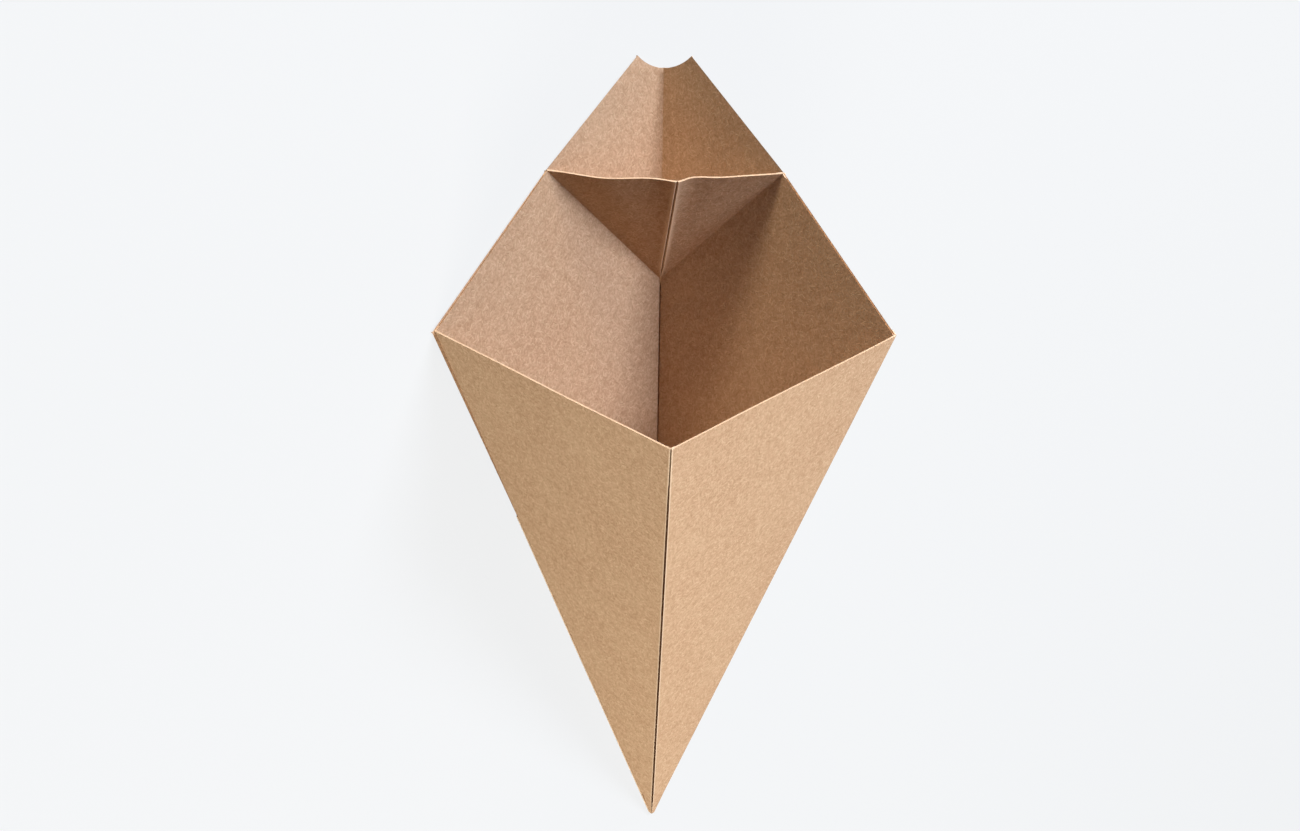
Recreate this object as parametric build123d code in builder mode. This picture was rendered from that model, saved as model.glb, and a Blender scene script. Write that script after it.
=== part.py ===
from build123d import *
import os
from math import asin, atan2, cos, pi, radians, sin, sqrt, tan

# A four-sided serving cone with a dip pocket, folded and glued from one blank of kraft board.
# The blank runs: outer back-left, outer back-right, front-right, front-left, inner back-left,
# pocket left, pocket right, inner back-right. The two inner plies are glued on the outer ones.
# The cone lies on its outer back-left panel, with its back fold along +Y and its tip towards -Y.

# Driving dimensions, in millimetres and degrees
board = 0.5             # thickness of the board
panel_angle = 28.0      # angle at the tip between one long fold and the next
side_fold = 170.0       # tip to mouth along the left and the right fold
front_fold = 174.2      # tip to mouth along the front fold
rim_slope = 45.1        # rise of the back rim from a side corner to the pocket corner
shoulder_half = 42.6    # back fold to pocket corner, across a back panel
peak_slope = 40.8       # rise of the back rim from the pocket corner to the peak
notch_half = 10.2       # back fold to the end of the finger notch, across a back panel
notch_depth = 3.7       # depth of the finger notch at the back fold
pocket_drop = 32.4      # pocket corner down to pocket bottom, along the back fold
pocket_reach = 21.3     # how far the pocket's front corner stands in front of its bottom
pocket_lean = 3.0       # how far that corner leans to the right
ply_step = 0.25         # how far the inner plies stop short of the outer rim
seam_gap = 0.7          # gap between the two inner plies along the back fold
glue_edge = 0.8         # how far the outer ply stands past the left fold at the mouth
glue_run = 60.0         # length of the left fold over which that edge shows
crease_lip = 0.3        # how far each lip of a half-cut crease stands back from its fold
crease_depth = 0.4      # fold line to the bottom of a half-cut crease
fold_radius = 0.35      # outside radius of a pressed fold
fold_flat = 0.25        # corner that is pressed off the left fold, inside the glued edge
tip_cut = 2.2           # length that is cut off the tip
tip_hole = 0.4          # opening that the four panels leave at the tip

# Directions of the four long folds, for a cone with a square mouth
angle = radians(panel_angle)
dihedral = 2 * asin(sqrt(0.5) / cos(angle / 2))
back = Vector(0, 1, 0)
left = Vector(-sin(angle), cos(angle), 0)
right = Vector(-sin(angle) * cos(dihedral), cos(angle), sin(angle) * sin(dihedral))
axis = (left + right).normalized()
front = axis * (2 * axis.dot(back)) - back
forward = (front - back).normalized()
sideways = (right - left).normalized()
tip = Vector(0, 0, 0)


def panel_plane(fold, beside):
    """Outer face of the panel between two folds: X along the first fold, Z into the cone."""
    normal = fold.cross(beside).normalized()
    if normal.dot(axis) < 0:
        normal = normal * -1
    return Plane(origin=tip, x_dir=fold, z_dir=normal)


back_left = panel_plane(back, left)
back_right = panel_plane(back, right)
front_left = panel_plane(front, left)
front_right = panel_plane(front, right)
middle_mitre = Plane(origin=tip, x_dir=axis, z_dir=sideways)
side_mitre = Plane(origin=tip, x_dir=axis, z_dir=forward)

# Corners of a back panel, as distances along the back fold and across the panel
side_corner = (side_fold * cos(angle), side_fold * sin(angle))
shoulder = (
    side_corner[0] + (side_corner[1] - shoulder_half) * tan(radians(rim_slope)),
    shoulder_half,
)
peak = (shoulder[0] + (shoulder_half - notch_half) * tan(radians(peak_slope)), notch_half)
notch_base = peak[0] - notch_depth
notch_radius = (notch_half**2 + notch_depth**2) / (2 * notch_depth)
notch_sweep = atan2(notch_half, notch_radius - notch_depth) / 2
notch_middle = (
    notch_base + notch_radius * (1 - cos(notch_sweep)),
    notch_radius * sin(notch_sweep),
)
pocket_seat = shoulder[0] - pocket_drop


def handed(point, hand):
    return (point[0], point[1] * hand)


def outer_back_panel(plane, hand, edge):
    """Outer ply of a back panel, up to the peak and the finger notch."""
    with BuildPart() as panel:
        with BuildSketch(plane):
            with BuildLine():
                Polyline(
                    (notch_base, 0),
                    (0, 0),
                    *[handed(point, hand) for point in edge],
                    handed(shoulder, hand),
                    handed(peak, hand),
                )
                ThreePointArc(handed(peak, hand), handed(notch_middle, hand), (notch_base, 0))
            make_face()
        extrude(amount=board)
        split(bisect_by=middle_mitre, keep=Keep.BOTTOM if hand > 0 else Keep.TOP)
    return panel.part


def inner_back_ply(plane, hand, front_plane):
    """Inner ply of a back panel, from the tip to the fold of the pocket."""
    with BuildPart() as ply:
        with BuildSketch(plane.offset(board)):
            with BuildLine():
                Polyline(
                    (0, 0),
                    handed((side_corner[0] - ply_step, side_corner[1]), hand),
                    handed((shoulder[0] - ply_step, shoulder[1]), hand),
                    (pocket_seat, 0),
                    close=True,
                )
            make_face()
        extrude(amount=board)
        split(bisect_by=front_plane.offset(board / 2), keep=Keep.TOP)
        split(
            bisect_by=middle_mitre.offset(-hand * seam_gap / 2),
            keep=Keep.BOTTOM if hand > 0 else Keep.TOP,
        )
    return ply.part


def front_panel(plane, hand):
    """Front panel, a triangle from the tip to the straight rim of the mouth."""
    with BuildPart() as panel:
        with BuildSketch(plane):
            with BuildLine():
                Polyline((0, 0), (front_fold, 0), handed(side_corner, hand), close=True)
            make_face()
        extrude(amount=board)
        split(bisect_by=middle_mitre, keep=Keep.BOTTOM if hand < 0 else Keep.TOP)
    return panel.part


# Outer plies: a clean right fold, and on the left a glued edge that stands past the fold
glue_start = (side_fold - glue_run) * cos(angle), (side_fold - glue_run) * sin(angle)
glue_end = side_corner[0] - glue_edge * sin(angle), side_corner[1] + glue_edge * cos(angle)
outer_left = outer_back_panel(back_left, 1, [glue_start, glue_end])
with BuildPart() as outer_right:
    add(outer_back_panel(back_right, -1, [side_corner]))
    split(bisect_by=side_mitre, keep=Keep.BOTTOM)

# Front panels: the right one is mitred to the outer ply, the left one folds inside the outer ply
with BuildPart() as right_front:
    add(front_panel(front_right, 1))
    split(bisect_by=side_mitre, keep=Keep.TOP)
with BuildPart() as left_front:
    add(front_panel(front_left, -1))
    split(bisect_by=back_left.offset(board), keep=Keep.TOP)
    left_fold = left_front.faces().sort_by(Axis.Z)[0].edges().sort_by(Axis.X)
    chamfer(left_fold[0], length=fold_flat)

# Inner plies of the back
inner_left = inner_back_ply(back_left, 1, front_left)
inner_right = inner_back_ply(back_right, -1, front_right)

# Pocket: its bottom lies on the inner faces of both plies, its lip is level with its corners
inner_level = 2 * board
inward = (back_left.z_dir + back_right.z_dir).normalized()
pocket_bottom = back * pocket_seat + inward * (inner_level / sin(dihedral / 2))
corner_left = back_left.from_local_coords(Vector(*handed(shoulder, 1), inner_level))
corner_right = back_right.from_local_coords(Vector(*handed(shoulder, -1), inner_level))
pocket_height = (corner_left - pocket_bottom).dot(axis)
pocket_front = (
    pocket_bottom + axis * pocket_height + forward * pocket_reach + sideways * pocket_lean
)
pocket_fold = pocket_front - pocket_bottom


def pocket_plane(corner):
    """Front face of a pocket panel: X up the pocket's fold, Z into the pocket."""
    normal = pocket_fold.cross(corner - pocket_bottom).normalized()
    if normal.dot(forward) > 0:
        normal = normal * -1
    return Plane(origin=pocket_bottom, x_dir=pocket_fold, z_dir=normal)


pocket_left = pocket_plane(corner_left)
pocket_right = pocket_plane(corner_right)
pocket_mitre = Plane(
    origin=pocket_bottom,
    x_dir=pocket_fold,
    z_dir=(pocket_right.z_dir - pocket_left.z_dir).normalized(),
)


def pocket_panel(plane, corner, wall, keep):
    """Triangle from the pocket's fold to the back panel, reaching into the fold between them."""
    corner_local = plane.to_local_coords(corner)
    seat = Vector(corner_local.X, corner_local.Y).normalized()
    hand = 1 if corner_local.Y > 0 else -1
    tuck = inner_level / plane.z_dir.cross(wall.z_dir).length
    reach = Vector(-seat.Y, seat.X) * hand * tuck
    with BuildPart() as panel:
        with BuildSketch(plane):
            with BuildLine():
                Polyline(
                    (0, 0),
                    (pocket_fold.length, 0),
                    (corner_local.X, corner_local.Y),
                    (corner_local.X + reach.X, corner_local.Y + reach.Y),
                    (reach.X, reach.Y),
                    close=True,
                )
            make_face()
        extrude(amount=board)
        split(bisect_by=pocket_mitre, keep=keep)
        split(bisect_by=wall.offset(board), keep=Keep.TOP)
    return panel.part


pocket_left_panel = pocket_panel(pocket_left, corner_left, back_left, Keep.TOP)
pocket_right_panel = pocket_panel(pocket_right, corner_right, back_right, Keep.BOTTOM)


def half_cut_crease(origin, fold, first, second):
    """Prism that opens the fold between two panels from outside, as a half-cut crease opens."""
    outward = (first.z_dir + second.z_dir).normalized() * -1
    half_angle = (pi - radians(first.z_dir.get_angle(second.z_dir))) / 2
    lip_side = crease_lip * sin(half_angle)
    lip_out = crease_lip * cos(half_angle)
    with BuildPart() as groove:
        with BuildSketch(Plane(origin=origin, x_dir=outward.cross(fold), z_dir=fold)):
            with BuildLine():
                Polyline(
                    (0, -crease_depth),
                    (lip_side, -lip_out),
                    (lip_side, crease_depth),
                    (-lip_side, crease_depth),
                    (-lip_side, -lip_out),
                    close=True,
                )
            make_face()
        extrude(amount=fold.length)
    return groove.part


def on_fold(edge, fold):
    """True for an edge that lies on a long fold's outer line."""
    return all((edge @ end).cross(fold).length < board / 10 for end in (0, 1))


# The folded blank, with its pressed and half-cut folds and its cut tip
tip_plane = Plane(origin=axis * tip_cut, z_dir=axis)
hole_length = (inner_level + tip_hole) / back_left.z_dir.dot(axis)
with BuildPart() as folded:
    add(outer_left)
    add(outer_right.part)
    add(right_front.part)
    add(left_front.part)
    add(inner_left)
    add(inner_right)
    add(pocket_left_panel)
    add(pocket_right_panel)
    split(bisect_by=tip_plane, keep=Keep.TOP)
    pressed_folds = folded.edges().filter_by(lambda edge: on_fold(edge, right) or on_fold(edge, back))
    fillet(pressed_folds, radius=fold_radius)
    add(half_cut_crease(tip, front * front_fold, front_left, front_right), mode=Mode.SUBTRACT)
    add(
        half_cut_crease(pocket_bottom, pocket_fold, pocket_left, pocket_right),
        mode=Mode.SUBTRACT,
    )
    with BuildSketch(Plane(origin=tip, z_dir=axis)):
        Circle(tip_hole / 2)
    extrude(amount=hole_length, mode=Mode.SUBTRACT)

# The origin is under the middle of the lying cone
footprint = folded.part.bounding_box()
with BuildPart() as cone_cup:
    with Locations((-footprint.center().X, -footprint.center().Y, -footprint.min.Z)):
        add(folded.part)

cone_cup.part.label = "cone_cup"
os.makedirs("parts", exist_ok=True)
export_step(cone_cup.part, "parts/cone_cup.step")
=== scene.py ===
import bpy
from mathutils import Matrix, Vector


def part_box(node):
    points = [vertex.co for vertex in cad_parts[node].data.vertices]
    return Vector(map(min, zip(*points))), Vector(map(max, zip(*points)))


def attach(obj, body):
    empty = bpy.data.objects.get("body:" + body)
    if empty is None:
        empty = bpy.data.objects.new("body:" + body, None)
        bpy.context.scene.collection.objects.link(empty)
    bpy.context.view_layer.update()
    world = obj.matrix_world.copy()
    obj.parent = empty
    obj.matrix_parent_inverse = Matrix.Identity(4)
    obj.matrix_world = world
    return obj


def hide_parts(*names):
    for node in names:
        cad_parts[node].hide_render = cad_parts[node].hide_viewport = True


bl_info = {
    "name": "Kraft Serving Cone",
    "version": (1, 0, 0),
    "blender": (4, 5, 0),
    "location": "3D View > Sidebar > Serving Cone",
    "description": "Folds a serving cone with a dip pocket from one sheet of kraft board",
    "category": "Add Mesh",
}

from math import asin, atan2, ceil, cos, exp, pi, radians, sin, sqrt, tan

import bpy
from bpy.props import FloatProperty, FloatVectorProperty, IntProperty, PointerProperty
from mathutils import Matrix, Vector, noise
from mathutils.geometry import delaunay_2d_cdt

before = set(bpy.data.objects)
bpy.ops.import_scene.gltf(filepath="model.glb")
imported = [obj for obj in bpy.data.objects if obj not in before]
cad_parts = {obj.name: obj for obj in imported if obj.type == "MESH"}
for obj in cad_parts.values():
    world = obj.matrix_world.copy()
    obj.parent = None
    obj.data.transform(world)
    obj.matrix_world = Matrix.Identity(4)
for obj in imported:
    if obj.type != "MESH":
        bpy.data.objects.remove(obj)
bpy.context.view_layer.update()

# The flat blank is this wide in its UV map, in metres
BLANK_WIDTH = 0.25
# Edges that bend by more than this are shaded sharp
SHARP = radians(32)


def length(name, description, default):
    return FloatProperty(
        name=name, description=description, default=default, unit="LENGTH", subtype="DISTANCE", precision=5
    )


def angle(name, description, degrees):
    return FloatProperty(name=name, description=description, default=radians(degrees), subtype="ANGLE")


def lamp_heading(name, degrees):
    return angle(f"{name} heading", f"Direction of the {name.lower()} lamp on the floor, from +X", degrees)


def lamp_height(name, degrees):
    return angle(f"{name} height", f"Angle of the {name.lower()} lamp above the floor", degrees)


def colour(name, description, default):
    return FloatVectorProperty(
        name=name, description=description, default=default, subtype="COLOR", size=3, min=0.0, max=1.0
    )


def share(name, description, default):
    return FloatProperty(
        name=name, description=description, default=default, subtype="FACTOR", min=0.0, max=1.0
    )


def power(name, description, default):
    return FloatProperty(name=name, description=description, default=default, unit="POWER", min=0.0)


class SheetSizes(bpy.types.PropertyGroup):
    """Sizes of the blank and of its folds"""

    board: length("Board", "Thickness of the board", 0.0005)
    panel_angle: angle("Panel angle", "Angle at the tip between one long fold and the next", 28.0)
    side_fold: length("Side fold", "Tip to mouth along the left and the right fold", 0.170)
    front_fold: length("Front fold", "Tip to mouth along the front fold", 0.1742)
    rim_slope: angle("Rim slope", "Rise of the back rim from a side corner to the pocket corner", 45.1)
    shoulder_half: length("Shoulder", "Back fold to pocket corner, across a back panel", 0.0426)
    peak_slope: angle("Peak slope", "Rise of the back rim from the pocket corner to the peak", 40.8)
    notch_half: length("Notch half", "Back fold to the end of the finger notch", 0.0102)
    notch_depth: length("Notch depth", "Depth of the finger notch at the back fold", 0.0037)
    pocket_drop: length("Pocket drop", "Pocket corner down to pocket bottom, along the back fold", 0.0324)
    pocket_reach: length("Pocket reach", "Pocket's front corner in front of its bottom", 0.0213)
    pocket_lean: length("Pocket lean", "How far that corner leans to the right", 0.003)
    ply_step: length("Ply step", "How far the inner plies stop short of the outer rim", 0.00025)
    ply_gap: length("Ply gap", "Line of air between two glued plies", 0.00002)
    ply_start: length("Ply start", "Tip to the lower end of the inner plies, along the folds", 0.010)
    seam_gap: length("Seam gap", "Gap between the two inner plies along the back fold", 0.0007)
    glue_edge: length("Glued edge", "How far the outer ply stands past the left fold at the mouth", 0.0008)
    glue_run: length("Glued run", "Length of the left fold over which that edge shows", 0.060)
    crease_lip: length("Crease lip", "Lip of a half-cut crease, back from its fold", 0.0004)
    crease_depth: length("Crease depth", "Fold line to the bottom of a half-cut crease", 0.0004)
    crease_rise: length("Crease rise", "How far the lips of a half-cut crease stand up", 0.00005)
    fold_radius: length("Fold radius", "Outside radius of a pressed fold", 0.00045)
    tip_cut: length("Tip cut", "Length that is cut off the tip", 0.0022)
    mesh_step: length("Mesh step", "Distance between the points of a panel", 0.004)
    front_warp: length("Front warp", "How far a front panel waves out of its plane", 0.00025)
    cut_slant: length("Cut slant", "How far one skin stops short of the other on a slanted cut", 0.00042)
    lip_hollow: length("Pocket hollow", "How far the pocket's lip curves in beside its fold", 0.00095)
    lip_swell: length("Pocket swell", "How far the pocket's left lip curves out at its middle", 0.00085)


class BoardFinish(bpy.types.PropertyGroup):
    """Colours and grain of the unbleached board"""

    kraft: colour("Kraft", "Plain colour of the board's faces", (0.59, 0.388, 0.258))
    pale_fibre: colour("Pale fibre", "Fibres that catch the light", (0.74, 0.56, 0.38))
    dark_fibre: colour("Dark fibre", "Fibres and bark flecks", (0.36, 0.215, 0.115))
    cut: colour("Cut", "Fresh fibres on a cut edge", (0.82, 0.62, 0.45))
    # Pale torn fibres on a crease's lips, lightened further as a painted highlight where the raised lips
    # catch the light
    torn_and_highlight: colour("Torn lip", "Torn fibres along an opened crease", (0.95, 0.75, 0.56))
    # Painted shade: the near-black bottom of a half-cut crease stands in for the shade that falls in the
    # groove
    groove: colour("Groove", "Bottom of a half-cut crease", (0.055, 0.018, 0.004))
    fibre_length: length("Fibre length", "Length of the short fibres that show in the face", 0.0017)
    fibre_width: length("Fibre width", "Width of those fibres", 0.00042)
    roughness: share("Roughness", "Roughness of the bare board", 0.78)


class FibreSizes(bpy.types.PropertyGroup):
    """Loose fibres on the cut edges and in the half-cut creases"""

    density: FloatProperty(
        name="Density", description="Loose fibres on a square millimetre of cut edge", default=2.2, min=0.0
    )
    fibre_length: length("Fibre length", "Longest loose fibre", 0.0006)
    fibre_width: length("Fibre width", "Thickness of a loose fibre", 0.000028)
    lean: angle("Lean", "Largest lean of a fibre away from the edge's normal", 75.0)
    seed: IntProperty(name="Seed", description="Fixed seed for the places of the fibres", default=7, min=0)


class StageSizes(bpy.types.PropertyGroup):
    """Floor, lamps and camera"""

    floor_size: length("Floor size", "Side of the square floor", 8.0)
    floor_drop: length("Floor drop", "Gap between the floor and the outer back panel", 0.0001)
    floor_colour: colour("Floor colour", "Pale floor as the camera sees it", (0.885, 0.90, 0.915))
    floor_shadow: share("Floor shadow", "How much of the floor's own shading the camera sees", 0.1)
    floor_bounce: share("Floor bounce", "How much light the floor throws back on the cone", 0.08)
    lamp_distance: length("Lamp distance", "Lamps to the middle of the cone", 1.0)
    key_power: power("Key power", "Soft lamp high up behind the right panels", 10.2)
    key_heading: lamp_heading("Key", 75.0)
    key_height: lamp_height("Key", 60.0)
    fill_distance: length("Fill distance", "Fill lamp to the middle of the cone", 0.75)
    fill_power: power("Fill power", "Warm lamp low in front of the cone", 6.4)
    fill_heading: lamp_heading("Fill", 246.0)
    fill_height: lamp_height("Fill", 20.0)
    mouth_power: power("Mouth power", "Warm lamp that looks down the mouth", 8.5)
    mouth_heading: lamp_heading("Mouth", 104.0)
    mouth_height: lamp_height("Mouth", 5.0)
    side_power: power("Side power", "Lamp beside the outer back right panel", 6.0)
    side_heading: lamp_heading("Side", 15.0)
    side_height: lamp_height("Side", 4.0)
    sky: FloatProperty(
        name="Sky", description="Strength of the even light from all sides", default=0.03, min=0.0
    )
    lens: FloatProperty(name="Lens", description="Focal length on a 36 mm sensor", default=71.5, min=1.0)
    distance: length("Distance", "Camera to the plane through the tip", 0.73256)
    rise: angle("Rise", "Camera above the plane of the mouth", 32.40)
    turn: angle("Turn", "Camera around the cone's axis, to the left", 1.667)
    roll: angle("Roll", "Roll of the camera", 1.481)
    aim_up: length("Aim up", "Middle of the view above the tip", 0.11415)
    aim_right: length("Aim right", "Middle of the view to the right of the tip", -0.00038)


class ConeLines:
    """Directions and corners of the folded cone, worked out from the sizes of the sheet."""

    def __init__(self, sizes):
        turn = sizes.panel_angle
        dihedral = 2 * asin(sqrt(0.5) / cos(turn / 2))
        self.dihedral = dihedral
        self.back = Vector((0, 1, 0))
        self.left = Vector((-sin(turn), cos(turn), 0))
        self.right = Vector((-sin(turn) * cos(dihedral), cos(turn), sin(turn) * sin(dihedral)))
        self.axis = (self.left + self.right).normalized()
        self.front = self.axis * (2 * self.axis.dot(self.back)) - self.back
        self.forward = (self.front - self.back).normalized()
        self.sideways = (self.right - self.left).normalized()
        # Corners of a back panel, as distances along the back fold and across the panel
        self.side_corner = Vector((sizes.side_fold * cos(turn), sizes.side_fold * sin(turn)))
        rise = (self.side_corner.y - sizes.shoulder_half) * tan(sizes.rim_slope)
        self.shoulder = Vector((self.side_corner.x + rise, sizes.shoulder_half))
        rise = (sizes.shoulder_half - sizes.notch_half) * tan(sizes.peak_slope)
        self.peak = Vector((self.shoulder.x + rise, sizes.notch_half))
        self.notch_base = self.peak.x - sizes.notch_depth
        self.notch_radius = (sizes.notch_half**2 + sizes.notch_depth**2) / (2 * sizes.notch_depth)
        self.pocket_seat = self.shoulder.x - sizes.pocket_drop
        self.glue_start = (sizes.side_fold - sizes.glue_run) * Vector((cos(turn), sin(turn)))
        self.glue_end = self.side_corner + sizes.glue_edge * Vector((-sin(turn), cos(turn)))
        low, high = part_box("cone_cup")
        self.tip = Vector((low.x + self.glue_end.y, high.y - self.peak.x, low.z))


class Panel:
    """A flat panel of the sheet: its place, the heights of its two skins and its place in the flat blank.

    It spreads from its origin between the line along it and one beside that. Heights count along the
    normal of the sheet's outer side, which faces away. Its middle is some point inside it.
    """

    def __init__(self, origin, along, beside, away, skins, middle, flat_origin, flat_turn, flat_hand):
        normal = along.cross(beside).normalized()
        self.origin = origin
        self.along = along
        self.across = (beside - along * beside.dot(along)).normalized()
        self.outside = normal if normal.dot(away) > 0 else -normal
        self.skins = skins
        self.middle = middle
        self.flat_origin = flat_origin
        self.flat_turn = Matrix.Rotation(flat_turn, 2)
        self.flat_hand = flat_hand

    def point(self, place, height):
        return self.origin + self.along * place[0] + self.across * place[1] + self.outside * height

    def local(self, point):
        offset = point - self.origin
        return Vector((offset.dot(self.along), offset.dot(self.across)))

    def flat(self, place):
        return self.flat_origin + self.flat_turn @ Vector((place[0], place[1] * self.flat_hand))

    def inwards(self, start, direction):
        """Unit vector in the panel, square to a line and towards the panel's middle."""
        across = self.outside.cross(direction).normalized()
        return across if across.dot(self.middle - start) > 0 else -across

    def edge(self, first, last):
        """Plane through a straight cut edge, square to the panel, as a point and a normal."""
        start = self.point(first, 0.0)
        return start, self.inwards(start, self.point(last, 0.0) - start)


def cone_panel(lines, fold, beside, skins, ray, hand):
    """Panel between two long folds. Its blank is turned about the tip to the ray of its first fold."""
    middle = lines.tip + (fold + beside) * (lines.side_corner.length / 3)
    return Panel(lines.tip, fold, beside, -lines.axis, skins, middle, Vector((0, 0)), ray, hand)


def meet(first, first_height, second, second_height, base):
    """Point nearest to base that lies at the given heights over two panels."""
    cosine = first.outside.dot(second.outside)
    rise_1 = first_height - (base - first.origin).dot(first.outside)
    rise_2 = second_height - (base - second.origin).dot(second.outside)
    scale = 1 - cosine**2
    step_1 = (rise_1 - cosine * rise_2) / scale
    step_2 = (rise_2 - cosine * rise_1) / scale
    return base + first.outside * step_1 + second.outside * step_2


def slide(point, direction, plane):
    """Moves a point along a direction on to a plane, given as a point and a normal."""
    place, normal = plane
    return point + direction * ((place - point).dot(normal) / direction.dot(normal))


# Marks of a plain point on its two skins: crease lip (pale torn fibres with a painted highlight) and
# groove bottom (painted shade)
PLAIN = ((0, 0), (0, 0))


class Sheet:
    """The folded sheet as pairs of points, one on each skin, and the faces between them."""

    def __init__(self):
        self.outer = []
        self.inner = []
        self.normal = []
        self.flat = []
        self.outer_marks = []
        self.inner_marks = []
        self.faces = []

    def add(self, outer, inner, normal, flat, outer_mark, inner_mark):
        self.outer.append(outer)
        self.inner.append(inner)
        self.normal.append(normal)
        self.flat.append(flat)
        self.outer_marks.append(outer_mark)
        self.inner_marks.append(inner_mark)
        return len(self.outer) - 1

    def add_on(self, panel, place, warp=0.0):
        outer, inner = (panel.point(place, height + warp) for height in panel.skins)
        return self.add(outer, inner, panel.outside, panel.flat(place), *PLAIN)

    def face(self, corners):
        """Adds a face whose front is on the sheet's outer side."""
        points = [self.outer[i] for i in corners]
        facing = Vector((0, 0, 0))
        for here, after in zip(points, points[1:] + points[:1]):
            facing += (here - points[0]).cross(after - points[0])
        upward = sum((self.normal[i] for i in corners), Vector((0, 0, 0)))
        self.faces.append(tuple(corners) if facing.dot(upward) > 0 else tuple(reversed(corners)))


class Fold:
    """A fold between two panels, laid as a strip of lines that run from its start to its end.

    Its neck is the strip's width at its start, where folds meet, as a share of its full width, and the run
    up to that full width. Its trims are planes in its two panels that cut its start and its end.
    """

    # Distances of the strip's flat lines from the fold, in metres
    LINES = (0.0016, 0.0008)
    # The skin inside the bend keeps this share of a line's distance
    LEAST_SHARE = 0.3
    # Smallest radius inside a pressed bend, in metres, and steps round it
    LEAST_RADIUS = 0.00006
    ARC = 6
    # Part of its run over which a groove's painted shade fades
    OPENING = (0.8, 0.93)
    # Stations closer to the knee than this share of its run give way to it
    KNEE_GAP = 0.1

    def __init__(self, sheet, panels, ends, neck, trims):
        self.sheet = sheet
        self.panels = panels
        self.start, self.end = ends
        self.narrow, self.knee = neck
        self.start_trim, self.end_trim = trims
        self.direction = (self.end - self.start).normalized()
        self.into = [panel.inwards(self.start, self.direction) for panel in panels]

    def corner(self, skin, base, depth=0.0):
        first, second = self.panels
        return meet(first, first.skins[skin] - depth, second, second.skins[skin] - depth, base)

    def flank(self, base, side, back_off, scale, convex):
        """Points on both skins, at a distance from the fold, in one of its two panels."""
        into = self.into[side]
        near, far = (0, 1) if convex > 0 else (1, 0)
        near_corner = self.corner(near, base)
        far_corner = self.corner(far, base)
        skew = (far_corner - near_corner).dot(into)
        distance = back_off * scale
        pair = [None, None]
        pair[near] = near_corner + into * distance
        pair[far] = far_corner + into * max(distance - skew, self.LEAST_SHARE * distance)
        return pair[0], pair[1], self.panels[side].outside, float(side)

    def pressed(self, base, scale, radius):
        """Section of a pressed fold, rounded on its outer side."""
        first, second = self.panels
        outer_radius = radius * scale
        inner_radius = max(outer_radius - first.skins[0] + first.skins[1], self.LEAST_RADIUS)
        outer_middle = self.corner(0, base, outer_radius)
        inner_middle = self.corner(1, base, inner_radius)
        turn = first.outside.rotation_difference(second.outside)
        section = [self.flank(base, 0, off, scale, 1) + PLAIN for off in self.LINES]
        for step in range(self.ARC + 1):
            part = step / self.ARC
            spoke = first.outside.copy()
            spoke.rotate(part_turn(turn, part))
            points = (outer_middle + spoke * outer_radius, inner_middle + spoke * inner_radius)
            section.append(points + (spoke, part) + PLAIN)
        return section + [self.flank(base, 1, off, scale, 1) + PLAIN for off in reversed(self.LINES)]

    def half_cut(self, base, scale, lip, depth, rise, convex, dark, spill):
        """Section of a half-cut crease, a groove between two raised lips on its convex side.

        dark is the groove's painted shade at its bottom, spill is the lips' paleness (torn fibres with a
        painted highlight) on the lines beside them.
        """
        def marks(lip_mark, groove_shade_mark=0):
            pair = ((lip_mark, groove_shade_mark), (0, 0))
            return pair if convex > 0 else pair[::-1]

        near, far = (0, 1) if convex > 0 else (1, 0)
        normal = (self.panels[0].outside + self.panels[1].outside).normalized()
        outwards = normal * convex
        pair = [None, None]
        pair[near] = self.corner(near, base) - outwards * depth * scale
        pair[far] = self.corner(far, base)
        flanks = []
        for side in (0, 1):
            raised = list(self.flank(base, side, lip, scale, convex))
            raised[near] = raised[near] + outwards * rise * scale
            far_line, near_line = (self.flank(base, side, off, scale, convex) for off in self.LINES)
            flanks.append([far_line + marks(0), near_line + marks(spill), tuple(raised) + marks(1)])
        return flanks[0] + [(pair[0], pair[1], normal, 0.5) + marks(1, dark)] + flanks[1][::-1]

    def trimmed(self, point, part, trim):
        if trim is None:
            return point
        first, second = (slide(point, self.direction, plane) for plane in trim)
        return first.lerp(second, part)

    def lay(self, make_section, look, run, shade_fade=0.0, curves=None):
        """Adds the strip and gives the points of its two outermost lines.

        A groove's painted shade fades towards its end, where it opens to the light. The curves of its two
        panels bend it.
        """
        first, second = self.panels
        knee = self.knee / (self.end - self.start).length
        run = sorted([knee] + [station for station in run if abs(station - knee) > self.KNEE_GAP * knee])
        bases = ((self.start, self.narrow), (self.start.lerp(self.end, knee), 1.0), (self.end, 1.0))
        rows = []
        for low, middle, high in zip(*(make_section(base, scale, *look) for base, scale in bases)):
            part, *side_marks = low[3:]
            low = [self.trimmed(point, part, self.start_trim) for point in low[:2]]
            ends = [self.trimmed(point, part, self.end_trim) for point in high[:2]]
            row = []
            for station in run:
                if station < knee:
                    outer, inner = (a.lerp(b, station / knee) for a, b in zip(low, middle))
                else:
                    after = (station - knee) / (1 - knee)
                    outer, inner = (a.lerp(b, after) for a, b in zip(middle, ends))
                flat = first.flat(first.local(outer)).lerp(second.flat(second.local(outer)), part)
                if curves and part != 0.5:
                    panel = self.panels[int(part)]
                    bend = panel.outside * curves[int(part)](panel.local(outer))
                    outer = outer + bend
                    inner = inner + bend
                # The groove's painted shade fades out where the groove opens to the light
                shown = 1.0 - shade_fade * smooth(station, *self.OPENING)
                marks = [(lip, groove * shown) for lip, groove in side_marks]
                row.append(self.sheet.add(outer, inner, high[2], flat, *marks))
            rows.append(row)
        for row, after in zip(rows, rows[1:]):
            for step in range(len(run) - 1):
                self.sheet.face((row[step], row[step + 1], after[step + 1], after[step]))
        return rows[0], rows[-1]


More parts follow.
